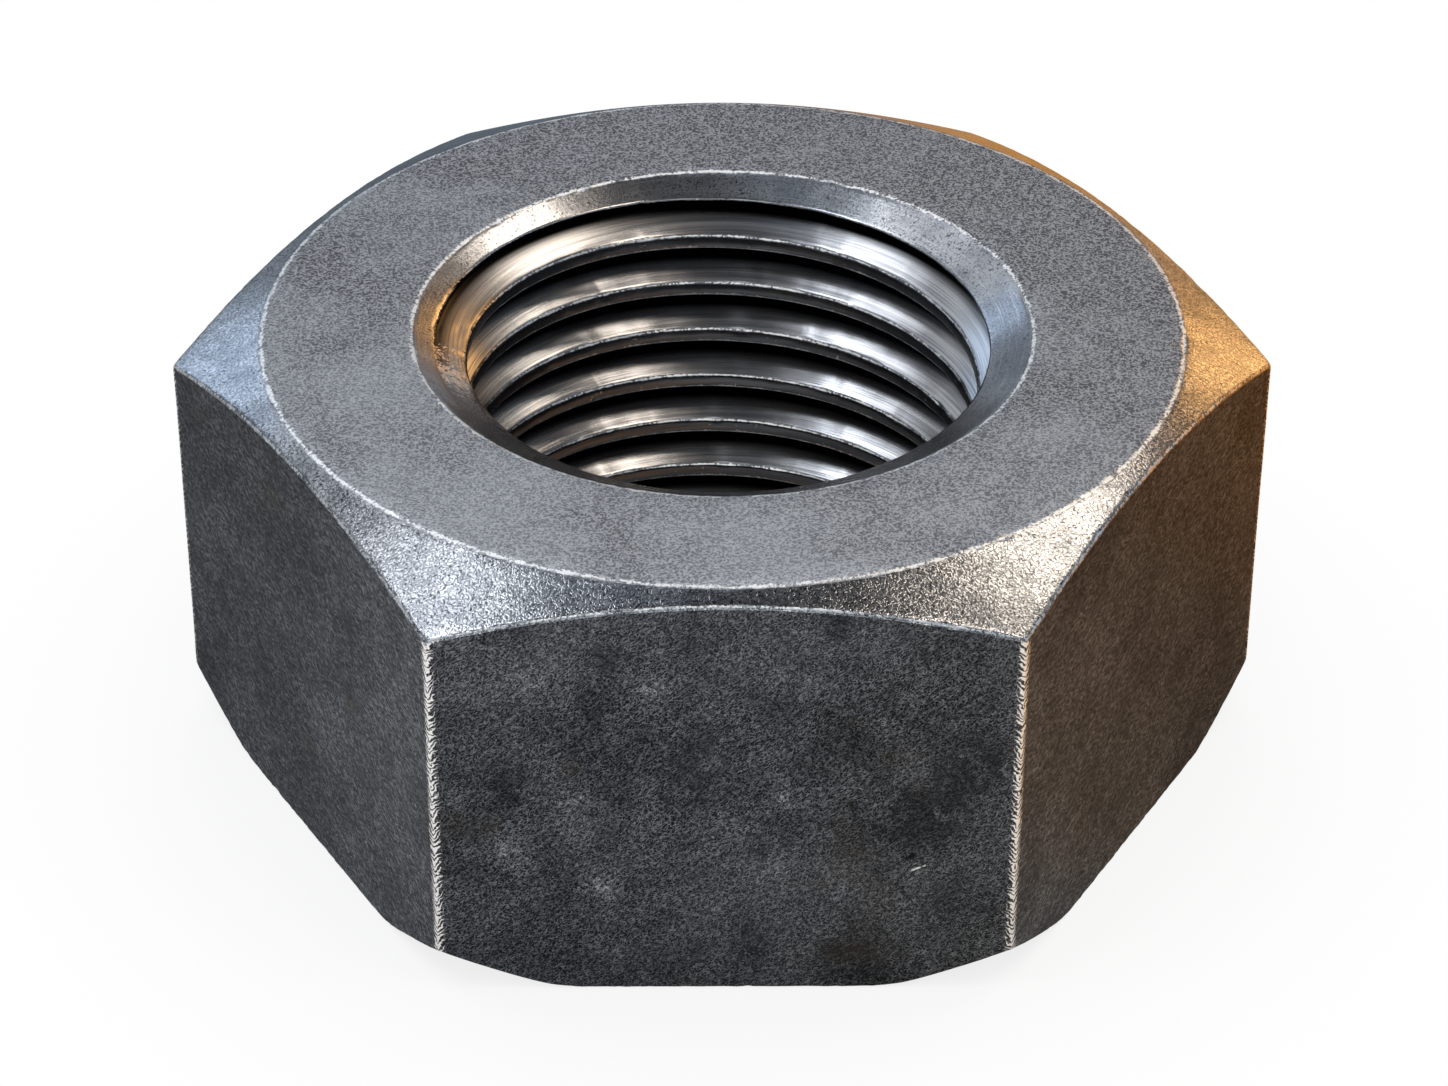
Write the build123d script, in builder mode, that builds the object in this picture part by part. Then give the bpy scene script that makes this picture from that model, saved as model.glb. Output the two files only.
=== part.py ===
"""Heavy structural hex nut, M45 x 4.5, hot forged in one piece and tapped right-hand.

The nut stands on its bearing face, centred on Z, with two flats square to Y.
Lengths are in millimetres and angles in degrees.
"""

import os
from math import ceil, radians, sqrt, tan

from build123d import *
from build123d.topology import SkipClean

# outside of the forging
across_flats = 75.0
height = 36.0
corner_radius = 0.6  # rounding of the six upright corners

# The top face is a disc a little narrower than the flats, so a chamfer runs all round it.
top_face_inset = 1.5  # from the flats in to the disc's edge
top_chamfer_angle = 27.0  # from the top face

# The bearing face's circle is wider than the flats, so its chamfer only clips the corners.
bearing_face_outset = 1.8  # from the flats out to the circle
bearing_chamfer_angle = 43.0  # from the bearing face

# metric coarse thread, and the countersinks where it starts and ends
thread_diameter = 45.0
thread_pitch = 4.5
thread_angle = 60.0  # between the two flanks
crest_share = 1 / 4  # of the pitch that is flat at a crest
root_share = 1 / 8  # of the pitch that is flat at a root
thread_start_angle = 255.0  # where round the bore the groove's middle meets the bearing face
countersink_width = 1.8  # from the thread's roots out to the countersink's mouth
countersink_angle = 120.0  # included

overcut = 0.25  # how far a cutting profile passes the surface that it cuts
bore_seam_angle = 45.0  # keeps the quarters' seams away from where each groove turn starts

corner_reach = across_flats / sqrt(3)  # from the axis to a sharp corner
top_face_radius = across_flats / 2 - top_face_inset
bearing_face_radius = across_flats / 2 + bearing_face_outset

flank_slope = tan(radians(thread_angle / 2))  # rise along the axis for each unit of depth
root_width = thread_pitch * root_share
thread_depth = thread_pitch * (1 - crest_share - root_share) / 2 / flank_slope
major_radius = thread_diameter / 2
minor_radius = major_radius - thread_depth
mouth_radius = major_radius + countersink_width
countersink_depth = (mouth_radius - minor_radius) / tan(radians(countersink_angle / 2))

# The groove is cut one turn after another, and runs out past both faces.
groove_start = -thread_pitch * (1 + thread_start_angle / 360)
groove_turns = ceil((height + thread_pitch - groove_start) / thread_pitch)


def blank_outline():
    """Half section of the turned blank, whose slopes chamfer the hexagon's corners."""
    outer = corner_reach + overcut
    bearing_rise = (outer - bearing_face_radius) * tan(radians(bearing_chamfer_angle))
    top_drop = (outer - top_face_radius) * tan(radians(top_chamfer_angle))
    Polyline(
        (0, 0),
        (bearing_face_radius, 0),
        (outer, bearing_rise),
        (outer, height - top_drop),
        (top_face_radius, height),
        (0, height),
        close=True,
    )


def bore_outline():
    """Half section of the bored hole, with a countersink at each face."""
    Polyline(
        (0, 0),
        (mouth_radius, 0),
        (minor_radius, countersink_depth),
        (minor_radius, height - countersink_depth),
        (mouth_radius, height),
        (0, height),
        close=True,
    )


def groove_outline():
    """Section of the tap's tooth, from the thread's root to just inside the bore."""
    inner = minor_radius - overcut
    inner_half = root_width / 2 + (major_radius - inner) * flank_slope
    Polyline(
        (inner, -inner_half),
        (major_radius, -root_width / 2),
        (major_radius, root_width / 2),
        (inner, inner_half),
        close=True,
    )


with BuildPart() as nut_body:
    with BuildSketch(Plane.XY) as hexagon:
        RegularPolygon(across_flats / 2, 6, major_radius=False)
        fillet(hexagon.vertices(), radius=corner_radius)
    extrude(amount=height)

    with BuildSketch(Plane.XZ):
        with BuildLine():
            blank_outline()
        make_face()
    revolve(axis=Axis.Z, mode=Mode.INTERSECT)

    # The bore is cut in quarters and its faces aren't joined up again, so that each face on a
    # thread crest follows only a quarter turn of the helix.
    with SkipClean():
        for quarter in range(4):
            with BuildSketch(Plane.XZ.rotated((0, 0, bore_seam_angle + 90 * quarter))):
                with BuildLine():
                    bore_outline()
                make_face()
            revolve(axis=Axis.Z, revolution_arc=90, mode=Mode.SUBTRACT, clean=False)

        for turn in range(groove_turns):
            turn_start = groove_start + turn * thread_pitch
            with BuildLine():
                Helix(thread_pitch, thread_pitch, minor_radius, center=(0, 0, turn_start))
            with BuildSketch(Plane.XZ.shift_origin((0, 0, turn_start))):
                with BuildLine():
                    groove_outline()
                make_face()
            sweep(is_frenet=True, mode=Mode.SUBTRACT, clean=False)

nut_body.part.label = "nut_body"
os.makedirs("parts", exist_ok=True)
export_step(nut_body.part, "parts/nut_body.step")
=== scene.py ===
"""A heavy hex nut of hot forged steel, shown on a white studio sweep."""

import math

import bmesh
import bpy
import numpy as np
from mathutils import Matrix, Vector, noise


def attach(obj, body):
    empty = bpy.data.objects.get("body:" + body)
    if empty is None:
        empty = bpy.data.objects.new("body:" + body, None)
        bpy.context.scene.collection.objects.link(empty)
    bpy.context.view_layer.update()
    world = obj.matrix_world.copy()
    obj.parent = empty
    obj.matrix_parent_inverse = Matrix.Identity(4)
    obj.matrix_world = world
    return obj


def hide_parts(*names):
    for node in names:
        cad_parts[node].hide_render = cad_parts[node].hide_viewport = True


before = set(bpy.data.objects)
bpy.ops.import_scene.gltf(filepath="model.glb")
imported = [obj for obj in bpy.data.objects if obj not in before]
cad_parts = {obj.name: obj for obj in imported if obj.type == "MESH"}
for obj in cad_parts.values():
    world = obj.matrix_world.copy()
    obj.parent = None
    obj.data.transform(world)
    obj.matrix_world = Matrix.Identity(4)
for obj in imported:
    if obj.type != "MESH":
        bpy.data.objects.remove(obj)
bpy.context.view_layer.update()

# Studio sweep: a disc of white painted board whose rim turns up into a wall. The camera sees
# it plain white, with the nut's shadow, in part a painted shadow. For the steel it glows with
# painted light, like boards just outside the picture: white in front, slate grey behind on the
# left, and amber on the right.
mm = 0.001
# radius and height of the disc's and the wall's section, in metres
sweep_profile = [(0.0, 0.0), (1.4, 0.0), (1.75, 0.09), (1.93, 0.30), (2.0, 0.60), (2.0, 1.8)]


def linear(code):
    """An sRGB hex colour, such as "7a7c80", as linear light."""
    parts = [int(code[i : i + 2], 16) / 255 for i in (0, 2, 4)]
    light = [c / 12.92 if c <= 0.04045 else ((c + 0.055) / 1.055) ** 2.4 for c in parts]
    return (*light, 1.0)


def add(tree, kind, inputs=None, **settings):
    """A node with its settings, and each input set, or linked to a socket or a first output."""
    made = tree.nodes.new("ShaderNode" + kind)
    for name, value in settings.items():
        setattr(made, name, value)
    for name, value in (inputs or {}).items():
        if isinstance(value, bpy.types.Node):
            value = value.outputs[0]
        if isinstance(value, bpy.types.NodeSocket):
            tree.links.new(value, made.inputs[name])
        else:
            made.inputs[name].default_value = value
    return made


def lay(tree, under, over, pattern, low, high, most=1.0):
    """The colour under, with another over it where the pattern passes from low to high."""
    share = add(
        tree,
        "MapRange",
        {"Value": pattern, 1: low, 2: high, 4: most},
        interpolation_type="SMOOTHSTEP",
    )
    return add(tree, "Mix", {0: share, 6: under, 7: over}, data_type="RGBA").outputs[2]


def finish_named(name):
    """A new material with an empty node tree and its output."""
    material = bpy.data.materials.new(name)
    material.use_nodes = True
    material.node_tree.nodes.clear()
    return material, material.node_tree, material.node_tree.nodes.new("ShaderNodeOutputMaterial")


def object_from(bm, name, *materials):
    """Turns a bmesh into an object that wears these materials."""
    mesh = bpy.data.meshes.new(name)
    bm.to_mesh(mesh)
    bm.free()
    for material in materials:
        mesh.materials.append(material)
    made = bpy.data.objects.new(name, mesh)
    bpy.context.collection.objects.link(made)
    return made


bm = bmesh.new()
chain = [bm.verts.new((radius, 0, height)) for radius, height in sweep_profile]
edges = [bm.edges.new(pair) for pair in zip(chain, chain[1:])]
bmesh.ops.spin(
    bm, geom=chain + edges, cent=(0, 0, 0), axis=(0, 0, 1), angle=math.tau, steps=96, use_merge=True
)
bmesh.ops.remove_doubles(bm, verts=bm.verts, dist=0.1 * mm)
bmesh.ops.recalc_face_normals(bm, faces=bm.faces)
for face in bm.faces:
    face.smooth = True
board, tree, output = finish_named("white_painted_board")
paint = add(tree, "BsdfDiffuse", {"Color": linear("cfcfcf")})
rays = add(tree, "LightPath")
metal_sees = add(
    tree,
    "Math",
    {0: rays.outputs["Is Glossy Ray"], 1: rays.outputs["Is Transmission Ray"]},
    operation="ADD",
    use_clamp=True,
)
# painted shadow: the board's glow is darker round the nut's foot, a lot for the steel and faintly
# for the camera
crevice = add(tree, "AmbientOcclusion", {"Distance": 30 * mm}, samples=6)
dark = add(tree, "Math", {0: crevice.outputs["AO"], 1: 1.5}, operation="POWER")
# where on the board a point lies: its compass direction from the nut, distance and height
spot = add(tree, "TexCoord").outputs["Object"]
level = add(tree, "VectorMath", {0: spot, 1: (1, 1, 0)}, operation="MULTIPLY").outputs[0]
compass = add(tree, "VectorMath", {0: level}, operation="NORMALIZE").outputs[0]
east, north = add(tree, "SeparateXYZ", {0: compass}).outputs[:2]
rise = add(tree, "SeparateXYZ", {0: spot}).outputs["Z"]
left_board = lay(tree, linear("f8faff"), linear("b9bbbf"), north, -0.5, 0.1)
left_board = lay(tree, left_board, linear("6f7985"), north, 0.2, 0.9)
right_board = lay(tree, linear("f2eeea"), linear("f2c7a0"), north, -0.85, -0.45)
right_board = lay(tree, right_board, linear("bc9068"), north, -0.45, 0.0)
right_board = lay(tree, right_board, linear("ec9840"), north, 0.05, 0.5)
right_board = lay(tree, right_board, linear("f4ac56"), north, 0.56, 0.80)
close = lay(tree, left_board, right_board, east, -0.05, 0.35)
# painted light for the steel: the wall behind on the right glows gold, and the rest of it grey,
# paler towards its top
gold_side = (0.66, 0.75, 0)
to_gold = add(tree, "VectorMath", {0: compass, 1: gold_side}, operation="DOT_PRODUCT")
to_gold = to_gold.outputs["Value"]
golden = lay(tree, linear("ffbe78"), linear("8c735c"), rise, 0.65, 1.0)
distant = lay(tree, linear("a3abb5"), golden, to_gold, 0.89, 0.98)
far = add(tree, "VectorMath", {0: level}, operation="LENGTH").outputs["Value"]
tint = lay(tree, close, distant, far, 0.3, 1.3)
upper = add(tree, "MapRange", {"Value": rise, 1: 1.0, 2: 1.45, 4: 0.6})
shade = add(tree, "MapRange", {"Value": east, 1: -0.1, 2: 0.6, 3: 1.0, 4: 0.35})
upper = add(tree, "Math", {0: upper, 1: shade}, operation="MULTIPLY")
upper = add(tree, "CombineXYZ", {0: upper, 1: upper, 2: upper})
tint = add(tree, "VectorMath", {0: tint, 1: upper}, operation="ADD")
for_metal = add(tree, "Math", {0: metal_sees.outputs[0], 1: dark.outputs[0]}, operation="MULTIPLY")
faint = add(tree, "MapRange", {"Value": crevice.outputs["AO"], 1: 0.2, 2: 0.95, 3: 0.82, 4: 1.0})
for_camera = add(
    tree, "Math", {0: rays.outputs["Is Camera Ray"], 1: faint.outputs[0]}, operation="MULTIPLY"
)
strength = add(
    tree,
    "Math",
    {0: for_camera.outputs[0], 1: for_metal.outputs[0]},
    operation="ADD",
    use_clamp=True,
)
white = add(tree, "Emission", {"Color": linear("ffffff"), "Strength": 1.0})
tinted = add(tree, "Emission", {"Color": tint, "Strength": 1.0})
glow = add(tree, "MixShader", {0: metal_sees.outputs[0], 1: white.outputs[0], 2: tinted.outputs[0]})
shares = add(tree, "MixShader", {0: strength.outputs[0], 1: paint.outputs[0], 2: glow.outputs[0]})
tree.links.new(shares.outputs[0], output.inputs["Surface"])
sweep = object_from(bm, "studio_sweep", board)

# Camera: in front of the nut and looking down on it by 34 degrees, with a long lens.
azimuth, elevation, roll = math.radians(-0.495), math.radians(34.2), math.radians(0.177)
distance, aside, below = 357.9, 0.15, 2.23  # millimetres from the middle of the nut
outward = math.cos(elevation)
back = Vector((math.sin(azimuth) * outward, -math.cos(azimuth) * outward, math.sin(elevation)))
right = Vector((math.cos(azimuth), math.sin(azimuth), 0))
up = back.cross(right)
turned = math.cos(roll) * right + math.sin(roll) * up
up = math.cos(roll) * up - math.sin(roll) * right
right = turned
lens = bpy.data.cameras.new("camera")
lens.lens = 110.54
lens.sensor_width = 36
lens.clip_start = 0.01
lens.clip_end = 20
camera = bpy.data.objects.new("camera", lens)
bpy.context.collection.objects.link(camera)
nut_middle = Vector((0, 0, 18 * mm))
stand = nut_middle + back * distance * mm + right * aside * mm - up * below * mm
camera.matrix_world = Matrix.Translation(stand) @ Matrix((right, up, back)).transposed().to_4x4()
bpy.context.scene.camera = camera

# Lamps: a softbox high on either side with a faint panel between them, two smaller ones
# further forward that reach down the bore, a long strip behind and one in front for the
# edges, and two tinted strips low behind the nut, warm on the right and cool on the left.
# The air round the nut is a dim grey.


def softbox(name, at, size, power, colour):
    """A rectangular area lamp that faces the nut."""
    light = bpy.data.lights.new(name, "AREA")
    light.shape = "RECTANGLE"
    light.size, light.size_y = size
    light.energy = power
    light.color = linear(colour)[:3]
    lamp = bpy.data.objects.new(name, light)
    bpy.context.collection.objects.link(lamp)
    lamp.location = at
    to_nut = Vector((0, 0, 20 * mm)) - Vector(at)
    lamp.rotation_euler = to_nut.to_track_quat("-Z", "Y").to_euler()


# place and size in metres, power in watts
softbox("left_softbox", (-0.53, 0.10, 0.89), (0.34, 0.31), 1.18, "f4f8ff")
softbox("right_softbox", (0.535, 0.355, 0.86), (0.34, 0.37), 2.15, "ffefdc")
softbox("cool_strip", (-0.64, 0.85, 0.40), (0.38, 0.42), 0.85, "c2d8f4")
softbox("warm_strip", (0.66, 0.85, 0.34), (0.28, 0.30), 0.70, "ffc078")
softbox("back_strip", (-0.15, 0.62, 0.95), (1.0, 0.34), 1.7, "f2f6ff")
softbox("front_strip", (0, -0.66, 0.84), (1.0, 0.34), 1.1, "f7f8f8")
softbox("top_panel", (-0.16, 0.19, 1.02), (0.48, 0.36), 0.24, "ccd8e6")
softbox("bore_lamp_left", (-0.46, -0.17, 0.91), (0.28, 0.22), 1.35, "f2f7ff")
softbox("bore_lamp_right", (0.46, -0.17, 0.91), (0.28, 0.22), 1.35, "fff0e0")
world = bpy.data.worlds.new("studio_air")
bpy.context.scene.world = world
world.use_nodes = True
world.node_tree.nodes["Background"].inputs["Color"].default_value = linear("52555a")
world.node_tree.nodes["Background"].inputs["Strength"].default_value = 1.0

# The forged blank: a hexagonal prism with a turned chamfer at each face. Its points lie in
# columns round the axis and rows along its section, from the mouth of the upper
# countersink over the outside to the mouth of the lower one. Sizes are in millimetres.
across_flats = 75.0
height = 36.0
corner_rounding = 0.6
top_disc_radius = 36.0
top_chamfer = math.radians(27)
bearing_circle_radius = 39.3
bearing_chamfer = math.radians(43)
mouth_radius = 24.3
sink_slope = math.sqrt(3)  # of the 120 degree countersinks, and of the thread's flanks
lip_depth = 1.5  # how deep in the two countersinks the blank's section starts and ends
broken_edge = 0.16  # of the flats' lower edges, where no chamfer reaches them
foot_blend, circle_blend = 0.5, 0.9  # where the foot's chamfer meets the flats and the face
outside_radius = 43.0  # turns an angle into millimetres along the outside
most_of_side = 0.42  # of a side of the section, that one rounding may take
close_row = 0.17  # between a rounding and the next row
shortest_span = 0.85  # where two roundings are closer than this, that row moves closer too
half_sector = 50  # columns from a corner to the middle of a flat

# degrees from a corner to the middle of a flat, in smaller steps on the rounded corner
half = np.interp(np.arange(0, half_sector + 1, 2), [0, 4, 8, half_sector], [0, 0.56, 2.0, 30])
half = np.interp(np.arange(half_sector + 1), np.arange(0, half_sector + 1, 2), half)
sector = np.concatenate([half, 60 - half[-2:0:-1]])
column_angles = np.radians(np.concatenate([sector + 60 * k for k in range(6)]))
columns = len(column_angles)


def larger(a, b, width):
    """The larger of two lengths, with the crossing rounded over this width."""
    h = np.maximum(width - np.abs(a - b), 0) / width
    return np.maximum(a, b) + h * h * width / 4


from_corner = np.abs((column_angles + math.pi / 6) % (math.pi / 3) - math.pi / 6)
rounding_centre = (across_flats / 2 - corner_rounding) / math.cos(math.pi / 6)
rounding_ends = math.atan2(
    corner_rounding / 2, rounding_centre + corner_rounding * math.cos(math.pi / 6)
)
inside = np.maximum(corner_rounding**2 - (rounding_centre * np.sin(from_corner)) ** 2, 0)
reach = np.where(
    from_corner < rounding_ends,
    rounding_centre * np.cos(from_corner) + np.sqrt(inside),
    across_flats / 2 / np.cos(math.pi / 6 - from_corner),
)
from_corner = from_corner * outside_radius

flat_top = height - (reach - top_disc_radius) * math.tan(top_chamfer)
chamfer_rise = (reach - bearing_circle_radius) * math.tan(bearing_chamfer)
flat_foot = larger(chamfer_rise, broken_edge, foot_blend)
bearing_reach = -larger(broken_edge - reach, -bearing_circle_radius, circle_blend)
section = [
    (mouth_radius - lip_depth * sink_slope, height - lip_depth),
    (mouth_radius, height),
    (top_disc_radius, height),
    (reach, flat_top),
    (reach, flat_foot),
    (bearing_reach, 0),
    (mouth_radius, 0),
    (mouth_radius - lip_depth * sink_slope, lip_depth),
]
section = [
    np.stack([np.broadcast_to(radius, columns), np.broadcast_to(z, columns)], 1)
    for radius, z in section
]
FACED, CHAMFER, SCALE, SINK, THREAD = range(5)
# rounding radius, rows on the rounding, rows to the next corner, finish of each
corners = [
    (0.5, 4, 8, FACED, FACED),
    (0.9, 5, 9, FACED, CHAMFER),
    (0.40, 6, 30, CHAMFER, SCALE),
    (0.22, 4, 4, SCALE, SCALE),
    (0.22, 4, 5, SCALE, FACED),
    (0.5, 4, 0, FACED, FACED),
]


def along(vectors):
    """Unit vectors and lengths."""
    lengths = np.linalg.norm(vectors, axis=1, keepdims=True)
    return vectors / lengths, lengths


# of each rounding: its arc, where the arc's points lie from -1 to 1, and half its width
roundings = []
for k, (radius, steps, *_) in enumerate(corners, start=1):
    to_last, last_length = along(section[k - 1] - section[k])
    to_next, next_length = along(section[k + 1] - section[k])
    opening = np.arccos(np.clip((to_last * to_next).sum(1, keepdims=True), -1, 1))
    side = most_of_side * np.minimum(last_length, next_length)
    cut = np.minimum(radius / np.tan(opening / 2), side)
    middle, _ = along(to_last + to_next)
    centre = section[k] + middle * cut / np.cos(opening / 2)
    start = section[k] + to_last * cut - centre
    end = section[k] + to_next * cut - centre
    turn = math.pi - opening
    arc = []
    for t in np.linspace(0, 1, steps):
        swing = np.sin((1 - t) * turn) * start + np.sin(t * turn) * end
        arc.append(centre + swing / np.sin(turn))
    roundings.append((arc, np.linspace(-1, 1, steps), cut[:, 0] * 0.9))

rows, edge_distance, row_finish = [], [], []
for k, (_, _, between, on_it, after_it) in enumerate(corners):
    arc, places, half_width = roundings[k]
    for point, place_on_arc in zip(arc, places):
        rows.append(point)
        edge_distance.append(abs(place_on_arc) * half_width)
        row_finish.append(on_it)
    if between:
        row_finish[-1] = after_it
        head = roundings[k + 1][0][0]
        span = np.linalg.norm(head - arc[-1], axis=1, keepdims=True)
        near = close_row / np.maximum(span, shortest_span)
        for i in range(between):
            share = near + (1 - 2 * near) * (i / (between - 1))
            rows.append(arc[-1] + (head - arc[-1]) * share)
            from_last = half_width + (share * span)[:, 0]
            to_coming = roundings[k + 1][2] + ((1 - share) * span)[:, 0]
            edge_distance.append(np.minimum(from_last, to_coming))
            row_finish.append(after_it)
rows = np.array(rows)
edge_distance = np.array(edge_distance)

bm = bmesh.new()
one_wide = Matrix.Translation((0.5, 0.5, 0))  # the grid runs from 0 to 1 both ways
bmesh.ops.create_grid(
    bm, x_segments=columns, y_segments=len(rows) - 1, size=0.5, matrix=one_wide
)
edge_layer = bm.verts.layers.float.new("edge_mm")
corner_layer = bm.verts.layers.float.new("corner_mm")
for face in bm.faces:
    row = int(face.calc_center_median().y * (len(rows) - 1))
    face.material_index = row_finish[row]
for vert in bm.verts:
    column, row = round(vert.co.x * columns) % columns, round(vert.co.y * (len(rows) - 1))
    radius, z = rows[row, column]
    angle = column_angles[column]
    vert[edge_layer] = edge_distance[row, column]
    vert[corner_layer] = from_corner[column]
    vert.co = (radius * math.cos(angle), radius * math.sin(angle), z)
shell = bpy.data.meshes.new("shell")
bm.to_mesh(shell)
bm.free()

# The tapped bore: a countersink at each face and a 60 degree thread between them. Its wall
# is laid out flat, cut along the thread's lines, and then rolled up and set in the blank.
pitch = 4.5
major_radius = 22.5
minor_radius = 20.0643
root_half = pitch / 16  # half the flat at a root
crest_edge = pitch * 3 / 8  # from the middle of a root to where a crest begins
root_rounding, crest_rounding, sink_rounding = 0.3, 0.32, 0.22
slope_length = 1.15  # along a countersink, for each millimetre of radius
wall_length = 0.58  # up the wall, for each millimetre of radius to the countersink
far_from_edges = 9.0
groove_start = -pitch * (1 + 255 / 360)
top_row = rows[0, 0, 1]
end_band = 2.75  # how far from each face the wall has level rows
end_rows = 27


def bore_wall(angle, z):
    """The wall's radius, whether it is countersunk, and the distance to its nearest edge."""
    off = np.abs((z - groove_start - pitch * angle / math.tau + pitch / 2) % pitch - pitch / 2)
    flank = major_radius - (off - root_half) * sink_slope
    groove = -larger(-flank, -major_radius, root_rounding)
    wall = larger(groove, minor_radius, crest_rounding)
    cone = mouth_radius - np.minimum(height - z, z) * sink_slope
    crest = np.where(off < crest_edge, 2 * (crest_edge - off), off - crest_edge)
    crest = np.where(cone > minor_radius + 0.5, far_from_edges, crest)
    rim = np.abs(cone - wall) * np.where(cone > wall, slope_length, wall_length)
    mouth = (mouth_radius - cone) * slope_length
    nearest = np.minimum(np.minimum(crest, rim), np.maximum(mouth, 0.05))
    return larger(wall, cone, sink_rounding), cone > wall, nearest


lower_levels = np.linspace(height - top_row, end_band, end_rows)
upper_levels = np.linspace(height - end_band, top_row, end_rows)
levels = np.concatenate([lower_levels, upper_levels])
turns = np.append(column_angles[::2], math.tau)
bm = bmesh.new()
bmesh.ops.create_grid(
    bm, x_segments=len(turns) - 1, y_segments=len(levels) - 1, size=0.5, matrix=one_wide
)
for vert in bm.verts:
    vert.co.x = turns[round(vert.co.x * (len(turns) - 1))]
    vert.co.y = levels[round(vert.co.y * (len(levels) - 1))]
uncut = [face for face in bm.faces if abs(face.calc_center_median().y - height / 2) < 1]
# distances from the middle of a root at which the wall is cut along the thread
offsets = [0.16, 0.40, 1.50, 1.60, 1.69, 1.78, 1.92]
lines = sorted(
    groove_start + pitch * k + side * off for k in range(12) for off in offsets for side in (-1, 1)
)
for line in lines:
    if not end_band - pitch < line < height - end_band:
        continue
    parts = set(uncut)
    for face in uncut:
        parts.update(face.edges, face.verts)
    cut = bmesh.ops.bisect_plane(
        bm, geom=list(parts), dist=1e-7, plane_co=(0, line, 0), plane_no=(-pitch / math.tau, 1, 0)
    )
    faces = [g for g in cut["geom"] if isinstance(g, bmesh.types.BMFace)]
    centres = [face.calc_center_median() for face in faces]
    uncut = [face for face, c in zip(faces, centres) if c.y - pitch * c.x / math.tau > line]
ends = [e for e in bm.edges if e.is_boundary and abs(e.verts[0].co.y - e.verts[1].co.y) < 1e-6]
bmesh.ops.subdivide_edges(bm, edges=ends, cuts=1)

edge_layer = bm.verts.layers.float.new("edge_mm")
corner_layer = bm.verts.layers.float.new("corner_mm")
centres = np.array([face.calc_center_median() for face in bm.faces])
for face, sunk in zip(bm.faces, bore_wall(centres[:, 0], centres[:, 1])[1]):
    face.material_index = SINK if sunk else THREAD
laid_flat = np.array([vert.co for vert in bm.verts])
radii, _, distances = bore_wall(laid_flat[:, 0], laid_flat[:, 1])
for vert, radius, distance in zip(bm.verts, radii, distances):
    angle, z = vert.co.x, vert.co.y
    vert[edge_layer] = distance
    vert[corner_layer] = far_from_edges
    vert.co = (radius * math.cos(angle), radius * math.sin(angle), z)
bm.from_mesh(shell)
bpy.data.meshes.remove(shell)
bmesh.ops.remove_doubles(bm, verts=bm.verts, dist=0.0008)  # joins the bore to the blank
bmesh.ops.recalc_face_normals(bm, faces=bm.faces)

# Wear: the edges are nicked and a little worn down, the flats wave slightly as the dies
# left them, and all of it only takes metal away. Widths and depths are in millimetres.
worn_width = 0.35  # each side of an edge
wave_depth = 0.06
wave_start, wave_ramp = 0.4, 3.0  # the waves begin this far from an edge, and grow over this
bm.normal_update()
skin = [vert for vert in bm.verts if all(face.material_index == SCALE for face in vert.link_faces)]
moves = []
for vert in bm.verts:
    distance = vert[edge_layer]
    depth = 0.0
    if distance < worn_width:
        fine = noise.noise(vert.co / 0.55)
        coarse = noise.noise(vert.co / 2.3 + Vector((9, 4, 2)))
        chips = max(noise.noise(vert.co / 1.1 + Vector((1, 7, 5))) - 0.32, 0)
        depth = 0.035 + 0.05 * fine + 0.03 * coarse + 0.30 * chips
        depth = depth * (1 - distance / worn_width)
    moves.append(max(depth, 0))
for vert in skin:
    fade = min(max((vert[edge_layer] - wave_start) / wave_ramp, 0), 1)
    wave = 0.5 + 0.5 * noise.noise(vert.co / 11.0)
    wave = wave + 0.22 * noise.noise(vert.co / 3.6 + Vector((3, 1, 8)))
    moves[vert.index] += wave_depth * max(wave, 0) * fade
normals = [vert.normal.copy() for vert in bm.verts]
for vert, normal, depth in zip(bm.verts, normals, moves):
    vert.co -= normal * depth
    vert.co *= mm
for face in bm.faces:
    face.smooth = True

# Marks that handling left on the front flat: across, height, radius in millimetres, and how
# bright the rubbed scale is there, or how dark it stayed where that is below zero.
front_marks = [
    (-14.2, 28.6, 2.0, 0.5), (-12.0, 26.6, 1.6, 0.3), (-7.4, 28.2, 1.6, 0.35),
    (-5.0, 27.6, 1.3, 0.55), (-10.8, 17.8, 1.1, 1.0), (4.3, 18.1, 1.2, 0.8),
    (-9.2, 9.6, 1.5, 0.8), (-16.0, 12.8, 1.8, 0.6), (-5.2, 15.6, 1.5, 0.5),
    (0.9, 15.1, 1.7, 0.5), (3.0, 11.2, 1.8, 0.35), (-1.5, 7.4, 1.6, 0.35),
    (15.5, 17.0, 2.6, -0.8), (18.2, 20.6, 2.2, -0.7), (7.7, 33.7, 1.2, -0.9),
    (9.7, 3.6, 2.2, -0.6), (1.9, 4.0, 1.6, -0.5), (-16.1, 19.1, 1.2, -0.6),
    (2.2, 13.0, 0.9, -0.8), (-9.6, 26.2, 1.3, -0.5), (-8.0, 30.2, 1.8, -0.4),
    (12.0, 14.5, 2.5, -0.3), (-2.0, 20.0, 2.4, -0.4), (17.5, 9.0, 2.4, -0.3),
]
front_flat = -37.3  # only the front flat lies further forward than this
rubbed = bm.verts.layers.float.new("rubbed")
for vert in bm.verts:
    if vert.co.y < front_flat * mm:
        across, rise = vert.co.x / mm, vert.co.z / mm
        vert[rubbed] = sum(
            much * math.exp(-((across - x) ** 2 + (rise - z) ** 2) / radius**2)
            for x, z, radius, much in front_marks
        )

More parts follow.
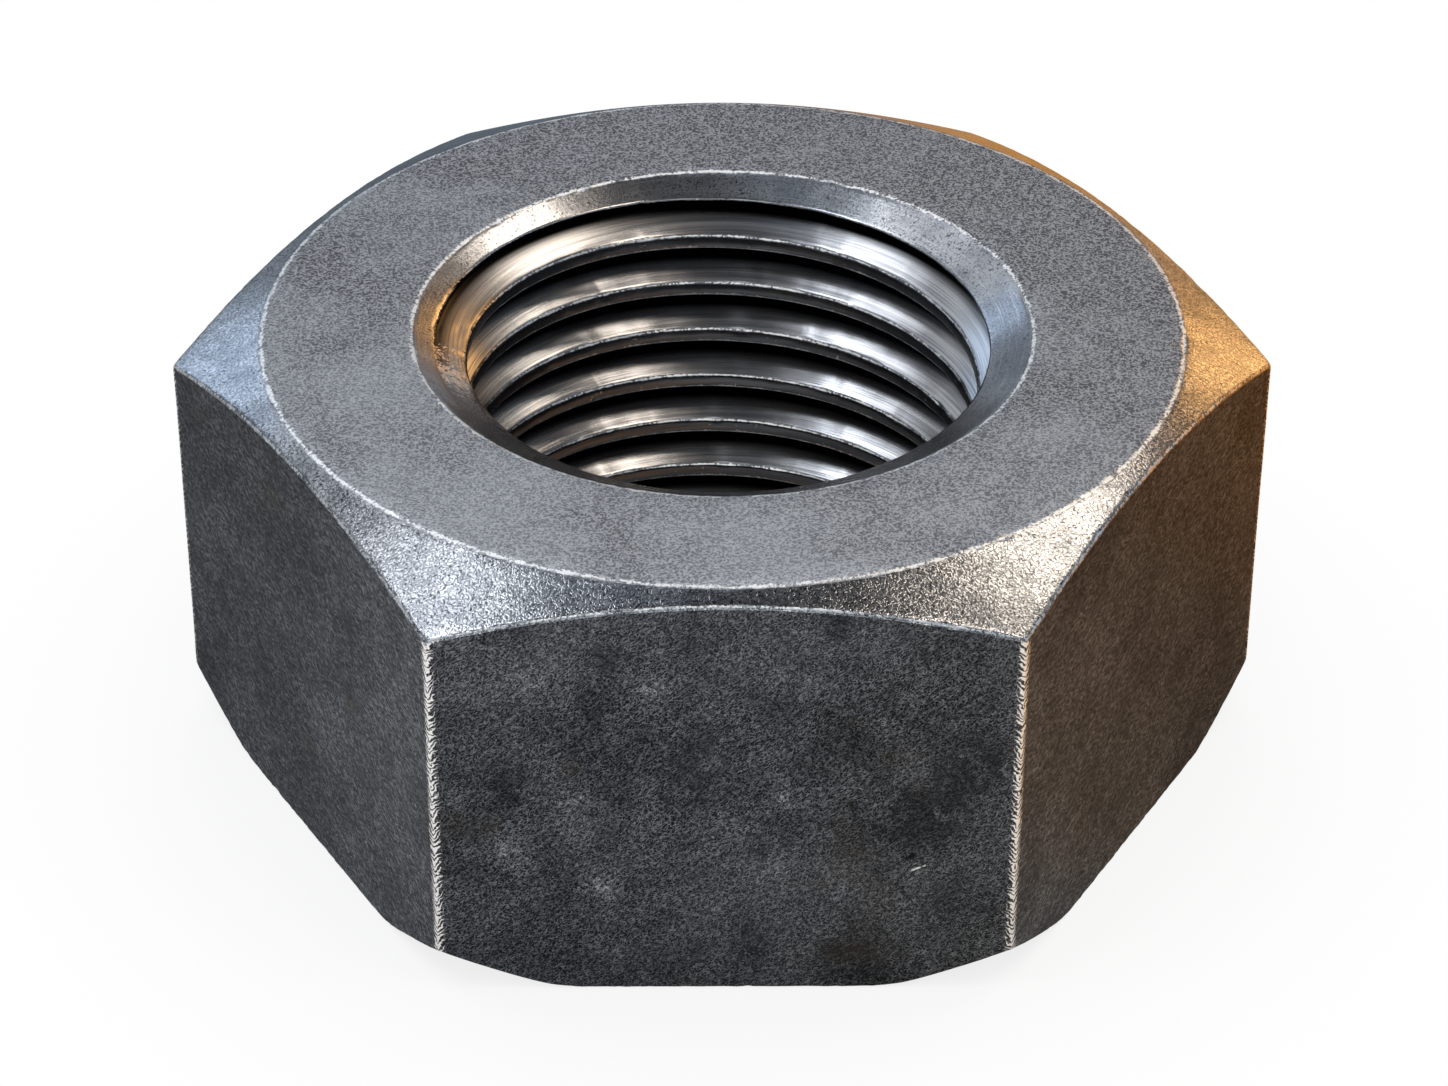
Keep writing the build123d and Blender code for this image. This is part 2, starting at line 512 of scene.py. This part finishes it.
# Grain runs along each flat at a slant, so every flat has its own coordinates in millimetres.
# It is drawn out across the flats beside the front and the back one, whose width looks short
# from there. The flats count round from the one at the back on the right.
slants = [40, 128, 52, 128, 42, 46]  # degrees
drawn_wide = [0.45, 1.0, 0.45, 0.42, 1.0, 0.42]
far_apart = 90  # so that no two flats have the same piece of the pattern
grain = bm.loops.layers.uv.new("flat_mm")
for face in bm.faces:
    if face.material_index != SCALE:
        continue
    centre = face.calc_center_median()
    side = round(math.degrees(math.atan2(centre.y, centre.x)) / 60 - 0.5) % 6
    facing, slant = math.radians(60 * side + 30), math.radians(slants[side])
    for loop in face.loops:
        across = loop.vert.co.y * math.cos(facing) - loop.vert.co.x * math.sin(facing)
        across = across / mm * drawn_wide[side]
        rise = loop.vert.co.z / mm
        loop[grain].uv = (
            across * math.cos(slant) + rise * math.sin(slant) + far_apart * side,
            rise * math.cos(slant) - across * math.sin(slant),
        )


def millimetres(tree):
    """Object coordinates in millimetres."""
    metres = add(tree, "TexCoord").outputs["Object"]
    return add(tree, "VectorMath", {0: metres, "Scale": 1000}, operation="SCALE").outputs[0]


def crooked_lines(tree, vector, size, width):
    """Thin crooked lines about this many millimetres apart, 1 on a line and 0 beside it."""
    field = add(
        tree, "TexNoise", {"Vector": vector, "Scale": 0.6 / size, "Detail": 1.0, "Distortion": 0.4}
    )
    offset = add(tree, "Math", {0: field, 1: 0.5}, operation="SUBTRACT")
    offset = add(tree, "Math", {0: offset}, operation="ABSOLUTE")
    return add(
        tree, "MapRange", {"Value": offset, 1: width, 2: 0.0}, interpolation_type="SMOOTHSTEP"
    ).outputs[0]


def nicked_edge(tree, vector, width):
    """1 on the bright bare steel of the nicked edges, about this many millimetres each side."""
    edge = add(tree, "Attribute", attribute_name="edge_mm").outputs["Fac"]
    ragged = add(
        tree, "TexNoise", {"Vector": vector, "Scale": 1 / 0.24, "Detail": 2.0, "Roughness": 0.65}
    )
    patchy = add(tree, "TexNoise", {"Vector": vector, "Scale": 1 / 1.8, "Detail": 2.0})
    moved = add(
        tree, "Math", {0: ragged, 1: 7.0 * width, 2: -5.4 * width}, operation="MULTIPLY_ADD"
    )
    moved = add(tree, "Math", {0: patchy, 1: 4.0 * width, 2: moved}, operation="MULTIPLY_ADD")
    moved = add(tree, "Math", {0: edge, 1: moved}, operation="ADD")
    return add(
        tree,
        "MapRange",
        {"Value": moved, 1: 1.1 * width, 2: 0.5 * width},
        interpolation_type="SMOOTHSTEP",
    ).outputs[0]


finishes = []

# Faced steel: the two end faces, turned flat and then left to tarnish. It gives a mottled
# mid grey with soft clouds and a fine even grain. The real grain is finer than a pixel, so it
# is drawn 0.14 to 0.2 mm wide.
material, tree, output = finish_named("faced_steel")
where = millimetres(tree)
specks = crooked_lines(tree, where, 0.19, 0.16)
sand = add(tree, "TexNoise", {"Vector": where, "Scale": 1 / 0.14, "Detail": 1.0})
tarnish_and_painted_light = add(
    tree,
    "TexNoise",
    {"Vector": where, "Scale": 1 / 12, "Detail": 6.0, "Roughness": 0.62, "Distortion": 0.3},
)
# painted light: the tarnish pattern rises towards the front on the left, so the face is a little
# paler there
painted_light_side = (-0.5, -0.87, 0)
painted_light = add(tree, "VectorMath", {0: where, 1: painted_light_side}, operation="DOT_PRODUCT")
painted_light = painted_light.outputs["Value"]
tarnish_and_painted_light = add(tree, "Math", {0: painted_light, 1: 0.0048, 2: tarnish_and_painted_light}, operation="MULTIPLY_ADD")
# soft clouds with that painted light, then dark grit, light specks and the bare edge
colour = lay(tree, linear("5f6064"), linear("959799"), tarnish_and_painted_light, 0.36, 0.74)
colour = lay(tree, colour, linear("3c3e42"), sand, 0.50, 0.68, 0.52)
colour = lay(tree, colour, linear("d8d9da"), specks, 0.3, 1.0, 0.55)
colour = lay(tree, colour, linear("f0f0ee"), nicked_edge(tree, where, 0.14), 0.0, 1.0)
height_map = add(tree, "Math", {0: specks, 1: sand}, operation="SUBTRACT")
bump = add(tree, "Bump", {"Strength": 0.8, "Distance": 0.006 * mm, "Height": height_map})
dull = add(tree, "MapRange", {"Value": tarnish_and_painted_light, 1: 0.3, 2: 0.7, 3: 0.46, 4: 0.36})
steel = add(
    tree,
    "BsdfPrincipled",
    {"Base Color": colour, "Metallic": 1.0, "Roughness": dull, "Normal": bump},
)
tree.links.new(steel.outputs[0], output.inputs["Surface"])
finishes.append(material)

# Turned chamfer: bare steel cut quickly and left bright. It gives silver light with a torn
# grain of short dark dashes. They are drawn about 0.2 mm apart, coarser than they are.
material, tree, output = finish_named("turned_chamfer")
where = millimetres(tree)
torn = crooked_lines(tree, where, 0.21, 0.15)
pits = add(tree, "TexNoise", {"Vector": where, "Scale": 1 / 0.19, "Detail": 1.0})
broad = add(tree, "TexNoise", {"Vector": where, "Scale": 1 / 3.5, "Detail": 4.0, "Roughness": 0.6})
# broad clouds, then the torn dashes, dark pits and the bare edge
colour = lay(tree, linear("939598"), linear("b4b5b7"), broad, 0.35, 0.65)
colour = lay(tree, colour, linear("55585d"), torn, 0.2, 1.0, 0.52)
colour = lay(tree, colour, linear("2a2c2f"), pits, 0.57, 0.67, 0.86)
colour = lay(tree, colour, linear("f0f0ee"), nicked_edge(tree, where, 0.10), 0.0, 1.0)
height_map = add(tree, "Math", {0: broad, 1: torn}, operation="SUBTRACT")
height_map = add(tree, "Math", {0: height_map, 1: pits}, operation="SUBTRACT")
bump = add(tree, "Bump", {"Strength": 1.0, "Distance": 0.0068 * mm, "Height": height_map})
steel = add(
    tree,
    "BsdfPrincipled",
    {"Base Color": colour, "Metallic": 1.0, "Roughness": 0.20, "Normal": bump},
)
tree.links.new(steel.outputs[0], output.inputs["Surface"])
finishes.append(material)

# Forged scale: the dark blue-grey oxide skin that hot forging left on the six flats. It gives
# a near-black steel with a slanting grain of light hair lines, drawn 0.12 to 0.2 mm apart,
# paler where it was rubbed, faintly brown in places, and bruised to bare metal at the corners.
material, tree, output = finish_named("forged_scale")
where = millimetres(tree)
flat = add(tree, "UVMap", uv_map="flat_mm")
flat = add(tree, "Mapping", {"Vector": flat, "Scale": (0.62, 1.0, 1.0)})
hairs = crooked_lines(tree, flat, 0.12, 0.13)
broken = add(tree, "TexNoise", {"Vector": flat, "Scale": 1 / 0.32, "Detail": 1.0})
broken = add(tree, "MapRange", {"Value": broken, 1: 0.30, 2: 0.62, 3: 0.25})
hairs = add(tree, "Math", {0: hairs, 1: broken}, operation="MULTIPLY")
sand = add(tree, "TexNoise", {"Vector": flat, "Scale": 1 / 0.12, "Detail": 1.0})
clouds = add(
    tree,
    "TexNoise",
    {"Vector": where, "Scale": 1 / 10, "Detail": 4.0, "Roughness": 0.52, "Distortion": 0.3},
)
scuffs = add(
    tree,
    "TexNoise",
    {"Vector": where, "Scale": 1 / 3.4, "Detail": 4.0, "Roughness": 0.6, "Distortion": 0.5},
)
# how far the scale is rubbed: clouds and scuffs all over, and the front flat's marks
marks = add(tree, "Attribute", attribute_name="rubbed").outputs["Fac"]
scuffed = add(tree, "MapRange", {"Value": scuffs, 1: 0.30, 2: 0.80, 3: -0.30, 4: 0.36})
clouded = add(tree, "MapRange", {"Value": clouds, 1: 0.34, 2: 0.68, 3: -0.15, 4: 0.17})
rub = add(tree, "Math", {0: clouded, 1: scuffed}, operation="ADD")
frayed = add(
    tree,
    "TexNoise",
    {"Vector": where, "Scale": 1 / 1.3, "Detail": 4.0, "Roughness": 0.65, "Distortion": 0.8},
)
frayed = add(tree, "MapRange", {"Value": frayed, 1: 0.34, 2: 0.62, 4: 1.6})
rub = add(tree, "Math", {0: marks, 1: frayed, 2: rub}, operation="MULTIPLY_ADD")
# the skin, paler where it is rubbed and darker where it isn't, its hair lines, grit and rust
colour = lay(tree, linear("222325"), linear("37393c"), clouds, 0.36, 0.66)
colour = lay(tree, colour, linear("5c6166"), rub, 0.1, 1.2, 0.9)
colour = lay(tree, colour, linear("1a1b1d"), rub, 0.0, -0.9, 0.60)
bright_hairs = lay(tree, linear("57595c"), linear("9a9da0"), rub, -0.6, 0.3)
bright_hairs = lay(tree, bright_hairs, linear("e0e3e4"), rub, 0.3, 1.1)
share = add(tree, "Math", {0: hairs, 1: 0.9}, operation="MULTIPLY")
colour = add(tree, "Mix", {0: share, 6: colour, 7: bright_hairs}, data_type="RGBA").outputs[2]
colour = lay(tree, colour, linear("0e0f11"), sand, 0.47, 0.64, 0.60)
rust = add(tree, "TexNoise", {"Vector": where, "Scale": 1 / 6.5, "Detail": 3.0, "Distortion": 0.6})
colour = lay(tree, colour, linear("4f4436"), rust, 0.56, 0.78, 0.30)
# the edges are bright above, but not round the foot
edge = nicked_edge(tree, where, 0.10)
height_mm = add(tree, "SeparateXYZ", {0: where}).outputs["Z"]
above_foot = add(tree, "MapRange", {"Value": height_mm, 1: 6.0, 2: 9.0})
edge = add(tree, "Math", {0: edge, 1: above_foot}, operation="MULTIPLY")
colour = lay(tree, colour, linear("e6e4e0"), edge, 0.0, 1.0)
# bruises down each upright corner: a row of small ragged chevrons of bare metal
chevron_spacing = 0.52
corner = add(tree, "Attribute", attribute_name="corner_mm").outputs["Fac"]
wander = add(tree, "TexNoise", {"Vector": where, "Scale": 1 / 1.1, "Detail": 3.0, "Roughness": 0.6})
arrow = add(tree, "Math", {0: corner, 1: -1.3, 2: height_mm}, operation="MULTIPLY_ADD")
arrow = add(tree, "Math", {0: wander, 1: 2.2, 2: arrow}, operation="MULTIPLY_ADD")
arrow = add(tree, "Math", {0: arrow, 1: chevron_spacing}, operation="DIVIDE")
arrow = add(tree, "Math", {0: arrow}, operation="FRACT")
arrow = add(tree, "Math", {0: arrow, 1: 0.5}, operation="SUBTRACT")
arrow = add(tree, "Math", {0: arrow}, operation="ABSOLUTE")
ragged = add(tree, "TexNoise", {"Vector": where, "Scale": 1 / 0.3, "Detail": 2.0, "Roughness": 0.6})
spread = add(tree, "Math", {0: arrow, 1: -0.85, 2: corner}, operation="MULTIPLY_ADD")
spread = add(tree, "Math", {0: ragged, 1: 0.5, 2: spread}, operation="MULTIPLY_ADD")
bruised = add(
    tree, "MapRange", {"Value": spread, 1: 0.46, 2: 0.28}, interpolation_type="SMOOTHSTEP"
).outputs[0]
core = add(tree, "Math", {0: corner, 1: -0.55, 2: arrow}, operation="MULTIPLY_ADD")
core = add(tree, "Math", {0: ragged, 1: 0.45, 2: core}, operation="MULTIPLY_ADD")
bare = lay(tree, linear("45413c"), linear("f2eee8"), core, 0.27, 0.46)
colour = add(tree, "Mix", {0: bruised, 6: colour, 7: bare}, data_type="RGBA").outputs[2]
shiny = add(tree, "Math", {0: edge, 1: bruised}, operation="MAXIMUM")
dull = add(tree, "MapRange", {"Value": shiny, 3: 0.54, 4: 0.34})
# a short gouge low on the right of the front flat, with a lip of bare metal under it
gouge_turn = (0, math.radians(-24), 0)
gouge = add(
    tree,
    "Mapping",
    {
        "Vector": where,
        "Location": (13.8, -37.5, 12.6),
        "Rotation": gouge_turn,
        "Scale": (0.8, 3, 0.42),
    },
    vector_type="TEXTURE",
)
gouge = add(tree, "VectorMath", {0: gouge}, operation="LENGTH").outputs["Value"]
gouge = add(tree, "Math", {0: ragged, 1: 2.4, 2: gouge}, operation="MULTIPLY_ADD")
colour = lay(tree, colour, linear("0e0f10"), gouge, 2.3, 1.5, 0.85)
lip = add(
    tree,
    "Mapping",
    {
        "Vector": where,
        "Location": (14.3, -37.5, 11.5),
        "Rotation": gouge_turn,
        "Scale": (0.62, 3, 0.11),
    },
    vector_type="TEXTURE",
)
lip = add(tree, "VectorMath", {0: lip}, operation="LENGTH").outputs["Value"]
lip = add(tree, "Math", {0: ragged, 1: 2.4, 2: lip}, operation="MULTIPLY_ADD")
colour = lay(tree, colour, linear("e4e4e2"), lip, 2.3, 1.8)
height_map = add(tree, "Math", {0: hairs, 1: sand}, operation="SUBTRACT")
height_map = add(tree, "Math", {0: gouge, 1: 0.5, 2: height_map}, operation="MULTIPLY_ADD")
bump = add(tree, "Bump", {"Strength": 0.8, "Distance": 0.008 * mm, "Height": height_map})
steel = add(
    tree,
    "BsdfPrincipled",
    {"Base Color": colour, "Metallic": 1.0, "Roughness": dull, "Normal": bump},
)
tree.links.new(steel.outputs[0], output.inputs["Surface"])
finishes.append(material)

bore_reach = 22.0  # the radius at which marks round the axis have their stated length


def round_the_axis(tree, vector, long, wide):
    """Coordinates for marks of this length and width round the nut's axis, and the radius."""
    level = add(tree, "VectorMath", {0: vector, 1: (1, 1, 0)}, operation="MULTIPLY")
    radius = add(tree, "VectorMath", {0: level}, operation="LENGTH").outputs["Value"]
    around = add(tree, "VectorMath", {0: level}, operation="NORMALIZE")
    around = add(tree, "VectorMath", {0: around, "Scale": bore_reach / long}, operation="SCALE")
    lift = add(tree, "SeparateXYZ", {0: vector}).outputs["Z"]
    lift = add(tree, "Math", {0: lift, 1: radius}, operation="ADD")
    lift = add(tree, "Math", {0: lift, 1: wide}, operation="DIVIDE")
    lift = add(tree, "CombineXYZ", {"Z": lift})
    return add(tree, "VectorMath", {0: around, 1: lift}, operation="ADD").outputs[0], radius


# Countersunk steel: the mouths of the hole, cut bright before tapping. It gives silver light
# with faint rings, drawn 0.16 mm wide, and scattered pits, drawn 0.3 mm wide.
material, tree, output = finish_named("countersunk_steel")
where = millimetres(tree)
rings, _ = round_the_axis(tree, where, 6.0, 0.16)
rings = add(tree, "TexNoise", {"Vector": rings, "Scale": 1.0, "Detail": 2.0, "Roughness": 0.6})
pits = add(tree, "TexNoise", {"Vector": where, "Scale": 1 / 0.30, "Detail": 1.0})
pitted = add(tree, "TexNoise", {"Vector": where, "Scale": 1 / 3.0, "Detail": 2.0})
pits = add(tree, "Math", {0: pitted, 1: 0.22, 2: pits}, operation="MULTIPLY_ADD")
sand = add(tree, "TexNoise", {"Vector": where, "Scale": 1 / 0.16, "Detail": 1.0})
# broad clouds, then the rings, dark grit, pits and the bare edge
colour = lay(tree, linear("8e9094"), linear("a8a9ab"), pitted, 0.35, 0.65)
colour = lay(tree, colour, linear("d8d8d6"), rings, 0.50, 0.75, 0.35)
colour = lay(tree, colour, linear("4b4d51"), sand, 0.50, 0.70, 0.60)
colour = lay(tree, colour, linear("3c3d40"), pits, 0.76, 0.86, 0.85)
colour = lay(tree, colour, linear("e2e1dd"), nicked_edge(tree, where, 0.13), 0.0, 1.0)
height_map = add(tree, "Math", {0: pits, 1: -1.2, 2: rings}, operation="MULTIPLY_ADD")
height_map = add(tree, "Math", {0: sand, 1: -1.0, 2: height_map}, operation="MULTIPLY_ADD")
bump = add(tree, "Bump", {"Strength": 1.0, "Distance": 0.004 * mm, "Height": height_map})
steel = add(
    tree,
    "BsdfPrincipled",
    {"Base Color": colour, "Metallic": 1.0, "Roughness": 0.21, "Normal": bump},
)
tree.links.new(steel.outputs[0], output.inputs["Surface"])
finishes.append(material)

# Tapped thread: steel cut by the tap, with fine marks round the axis and painted shade in its
# roots. It gives silk-bright flanks, thin bright crest edges and near-black roots. The marks
# are drawn 0.11 mm wide, which is as fine as the picture can show.
material, tree, output = finish_named("tapped_thread")
where = millimetres(tree)
fine_rings, radius = round_the_axis(tree, where, 9.0, 0.11)
fine_rings = add(
    tree, "TexNoise", {"Vector": fine_rings, "Scale": 1.0, "Detail": 2.0, "Roughness": 0.6}
)
streaks, _ = round_the_axis(tree, where, 14.0, 0.5)
streaks = add(tree, "TexNoise", {"Vector": streaks, "Scale": 1.0, "Detail": 2.0})
# streaks and fine rings, then the dull crests, the painted shade in the roots and the bare edges
colour = lay(tree, linear("858689"), linear("b0b1b2"), streaks, 0.3, 0.7)
colour = lay(tree, colour, linear("d5d3d0"), fine_rings, 0.50, 0.75, 0.40)
colour = lay(tree, colour, linear("454544"), fine_rings, 0.46, 0.28, 0.45)
colour = lay(tree, colour, linear("505358"), radius, 20.35, 20.16, 0.75)
# painted shade: the flanks darken towards the roots, and the roots go near black
colour = lay(tree, colour, linear("141517"), radius, 21.1, 22.3, 0.92)
colour = lay(tree, colour, linear("020202"), radius, 22.0, 22.3)
colour = lay(tree, colour, linear("e0dfdc"), nicked_edge(tree, where, 0.09), 0.0, 1.0)
bump = add(tree, "Bump", {"Strength": 1.0, "Distance": 0.003 * mm, "Height": fine_rings})
steel = add(
    tree,
    "BsdfPrincipled",
    {"Base Color": colour, "Metallic": 1.0, "Roughness": 0.25, "Normal": bump},
)
tree.links.new(steel.outputs[0], output.inputs["Surface"])
finishes.append(material)

# The finished nut: one piece of steel on the root body, in place of the solid.
nut = object_from(bm, "forged_nut", *finishes)
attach(nut, "root")
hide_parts("nut_body")

bpy.context.scene.view_settings.view_transform = "Standard"
